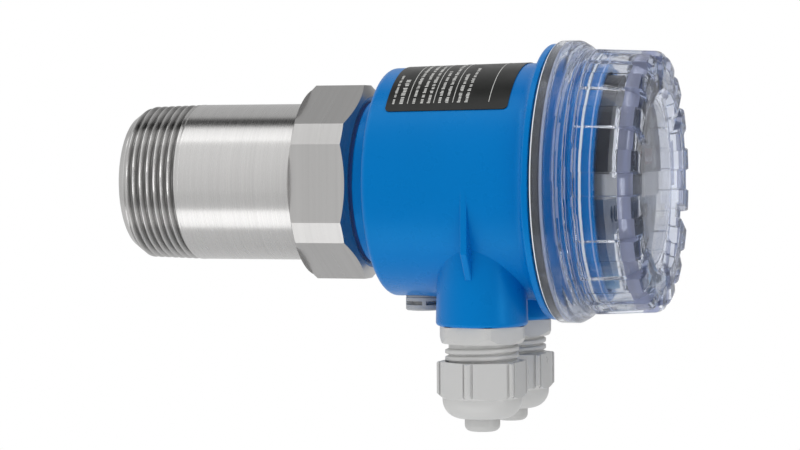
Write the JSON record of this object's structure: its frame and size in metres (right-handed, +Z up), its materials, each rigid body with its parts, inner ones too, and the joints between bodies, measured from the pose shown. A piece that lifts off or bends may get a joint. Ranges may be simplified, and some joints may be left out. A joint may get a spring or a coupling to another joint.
{
  "type": "microwave barrier",
  "caption": "Microwave sensor with a long threaded steel process connection, round plastic housing, clear screw cover and cable glands that point down.",
  "frame": {"origin": "on the sensor's axis at the gauge plane of the tapered process thread", "axes": "+X along the sensor's axis from the thread towards the screw cover, +Z up with the cable glands pointing down, +Y away from the side that the picture shows"},
  "size_m": [0.167, 0.0848, 0.1164],
  "materials": {
    "stainless_steel": "turned, satin",
    "window_ptfe": "turned PTFE, matt",
    "black_rubber": "matt",
    "cover_seal_rubber": "matt",
    "horn_aluminium": "turned",
    "module_can": "tinned sheet",
    "housing_blue": "moulded, satin",
    "lock_nut_brass": "plated, satin",
    "nameplate_film": "printed film, satin",
    "vent_grey": "moulded, satin",
    "clear_cover": "clear polycarbonate, polished",
    "bridge_grey": "moulded, satin",
    "module_dark": "moulded, satin",
    "board_green": "lacquered circuit board",
    "guard_blue": "moulded, satin",
    "terminal_grey": "moulded, satin",
    "screw_steel": "plated",
    "lamp_clear": "clear lens",
    "switch_red": "moulded",
    "button_grey": "moulded",
    "slider_white": "moulded",
    "gland_grey": "moulded polyamide, satin",
    "plug_grey": "moulded, satin"
  },
  "bodies": {
    "sensor": {"process_connection": "stainless_steel", "antenna_window": "window_ptfe", "window_seal": "black_rubber", "horn_antenna": "horn_aluminium", "microwave_module": "module_can", "neck_seal": "black_rubber", "housing": "housing_blue", "lock_nut": "lock_nut_brass", "nameplate": "nameplate_film", "vent_plug": "vent_grey", "vent_seal": "black_rubber", "mounting_bridge": "bridge_grey", "control_module": "module_dark", "signal_board": "board_green", "board_posts": "bridge_grey", "power_board": "board_green", "terminal_guard": "guard_blue", "terminal_block": "terminal_grey", "terminal_screws": "screw_steel", "insert_screws": "screw_steel", "lamp_bar": "lamp_clear", "dip_switch": "switch_red", "gland_body_near": "gland_grey", "gland_ring_near": "black_rubber", "gland_body_far": "gland_grey", "gland_ring_far": "black_rubber"},
    "cover_ring": {"cover_seal": "cover_seal_rubber"},
    "cover": {"cover": "clear_cover"},
    "gland_clamp_near": {"gland_sleeve_near": "black_rubber", "blind_plug_near": "plug_grey"},
    "gland_nut_near": {"gland_nut_near": "gland_grey"},
    "gland_clamp_far": {"gland_sleeve_far": "black_rubber", "blind_plug_far": "plug_grey"},
    "gland_nut_far": {"gland_nut_far": "gland_grey"},
    "push_button_1": {"push_button_1": "button_grey"},
    "push_button_2": {"push_button_2": "button_grey"},
    "push_button_3": {"push_button_3": "button_grey"},
    "dip_slider_1": {"dip_slider_1": "slider_white"},
    "dip_slider_2": {"dip_slider_2": "slider_white"},
    "dip_slider_3": {"dip_slider_3": "slider_white"},
    "dip_slider_4": {"dip_slider_4": "slider_white"}
  },
  "joints": [
    {"name": "cover_advance", "type": "slide", "parent": "sensor", "child": "cover_ring", "axis": [1, 0, 0], "range_m": [0, 0.0141]},
    {"name": "cover_turn", "type": "hinge", "parent": "cover_ring", "child": "cover", "pos_m": [0.13, 0, 0], "axis": [1, 0, 0], "range_deg": [0, 1620]},
    {"name": "gland_clamp_near_slide", "type": "slide", "parent": "sensor", "child": "gland_clamp_near", "axis": [0, 0, -1], "range_m": [0, 0.0071]},
    {"name": "gland_nut_near_turn", "type": "hinge", "parent": "gland_clamp_near", "child": "gland_nut_near", "pos_m": [0.10225, -0.0163, -0.058], "axis": [0, 0, -1], "range_deg": [0, 1260]},
    {"name": "gland_clamp_far_slide", "type": "slide", "parent": "sensor", "child": "gland_clamp_far", "axis": [0, 0, -1], "range_m": [0, 0.0071]},
    {"name": "gland_nut_far_turn", "type": "hinge", "parent": "gland_clamp_far", "child": "gland_nut_far", "pos_m": [0.10225, 0.0163, -0.058], "axis": [0, 0, -1], "range_deg": [0, 1260]},
    {"name": "push_button_1_press", "type": "slide", "parent": "sensor", "child": "push_button_1", "axis": [-1, 0, 0], "range_m": [0, 0.0005], "stiffness_N_per_m": 800},
    {"name": "push_button_2_press", "type": "slide", "parent": "sensor", "child": "push_button_2", "axis": [-1, 0, 0], "range_m": [0, 0.0005], "stiffness_N_per_m": 800},
    {"name": "push_button_3_press", "type": "slide", "parent": "sensor", "child": "push_button_3", "axis": [-1, 0, 0], "range_m": [0, 0.0005], "stiffness_N_per_m": 800},
    {"name": "dip_slider_1_slide", "type": "slide", "parent": "sensor", "child": "dip_slider_1", "axis": [0, 0, 1], "range_m": [0, 0.0014]},
    {"name": "dip_slider_2_slide", "type": "slide", "parent": "sensor", "child": "dip_slider_2", "axis": [0, 0, 1], "range_m": [0, 0.0014]},
    {"name": "dip_slider_3_slide", "type": "slide", "parent": "sensor", "child": "dip_slider_3", "axis": [0, 0, 1], "range_m": [0, 0.0014]},
    {"name": "dip_slider_4_slide", "type": "slide", "parent": "sensor", "child": "dip_slider_4", "axis": [0, 0, 1], "range_m": [0, 0.0014]}
  ],
  "couplings": [
    {"joint": "cover_advance", "follows": "cover_turn", "m_per_rad": 0.0004934},
    {"joint": "gland_clamp_near_slide", "follows": "gland_nut_near_turn", "m_per_rad": 0.0003183},
    {"joint": "gland_clamp_far_slide", "follows": "gland_nut_far_turn", "m_per_rad": 0.0003183}
  ]
}
